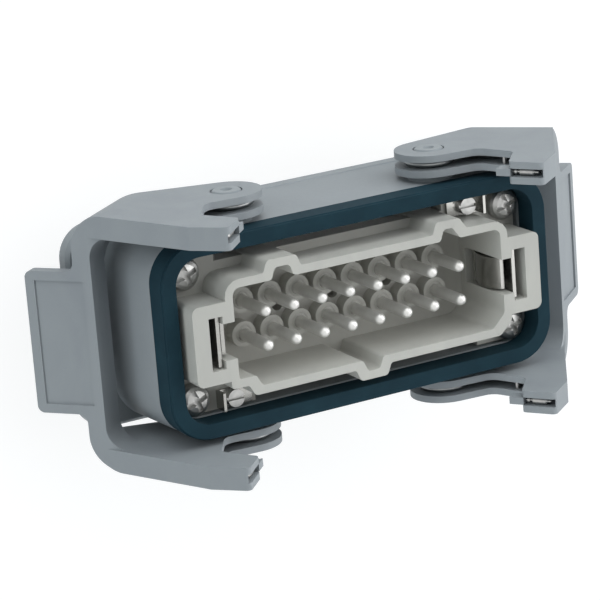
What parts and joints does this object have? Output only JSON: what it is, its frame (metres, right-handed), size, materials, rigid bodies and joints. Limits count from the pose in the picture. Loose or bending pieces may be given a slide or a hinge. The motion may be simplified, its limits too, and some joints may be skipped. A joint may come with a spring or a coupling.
{
  "type": "heavy duty rectangular connector",
  "caption": "Bulkhead half of a heavy duty rectangular connector: flanged housing with two pivoting locking levers, rim gasket and a male contact insert",
  "frame": {"origin": "centre of the panel screw pattern, in the plane of the flange's panel face", "axes": "+X along the housing, +Y across it, +Z out of the panel, the way the mating hood comes off"},
  "size_m": [0.1314, 0.0552, 0.0575],
  "materials": {
    "housing_paint": "matte grey powder coat on a die casting",
    "lever_plastic": "fine matte moulding",
    "seal_rubber": "smooth moulded rubber",
    "insert_plastic": "glass-filled moulding",
    "plated_pins": "silver plated, turned",
    "plated_steel": "zinc plated",
    "spring_strip": "bright rolled strip",
    "rivet_steel": "grey painted rivet"
  },
  "bodies": {
    "base": {"housing_body": "housing_paint", "rim_gasket": "seal_rubber", "flange_seal": "seal_rubber", "insert_body": "insert_plastic", "contact_pin_01": "plated_pins", "contact_pin_02": "plated_pins", "contact_pin_03": "plated_pins", "contact_pin_04": "plated_pins", "contact_pin_05": "plated_pins", "contact_pin_06": "plated_pins", "contact_pin_07": "plated_pins", "contact_pin_08": "plated_pins", "contact_pin_09": "plated_pins", "contact_pin_10": "plated_pins", "contact_pin_11": "plated_pins", "contact_pin_12": "plated_pins", "contact_pin_13": "plated_pins", "contact_pin_14": "plated_pins", "contact_pin_15": "plated_pins", "contact_pin_16": "plated_pins", "terminal_screws": "plated_steel", "insert_screws": "plated_steel", "earth_contact_left": "spring_strip", "earth_contact_right": "spring_strip", "earth_plates": "spring_strip", "earth_screws": "plated_steel", "pivot_rivet_left_upper": "rivet_steel", "pivot_rivet_left_lower": "rivet_steel", "pivot_rivet_right_upper": "rivet_steel", "pivot_rivet_right_lower": "rivet_steel"},
    "left_lever": {"lever_left": "lever_plastic", "lever_springs_left": "spring_strip", "hook_plungers_left": "plated_steel", "slider_blocks_left": "lever_plastic", "stop_pins_left": "plated_steel"},
    "right_lever": {"lever_right": "lever_plastic", "lever_springs_right": "spring_strip", "hook_plungers_right": "plated_steel", "slider_blocks_right": "lever_plastic", "stop_pins_right": "plated_steel"}
  },
  "joints": [
    {"name": "right_lever_pivot", "type": "hinge", "parent": "base", "child": "right_lever", "pos_m": [0.0245, 0, 0.0176], "axis": [0, 1, 0], "range_deg": [-13.7, 10.6]},
    {"name": "left_lever_pivot", "type": "hinge", "parent": "base", "child": "left_lever", "pos_m": [-0.0245, 0, 0.0176], "axis": [0, -1, 0], "range_deg": [-22.7, 1.6]}
  ]
}
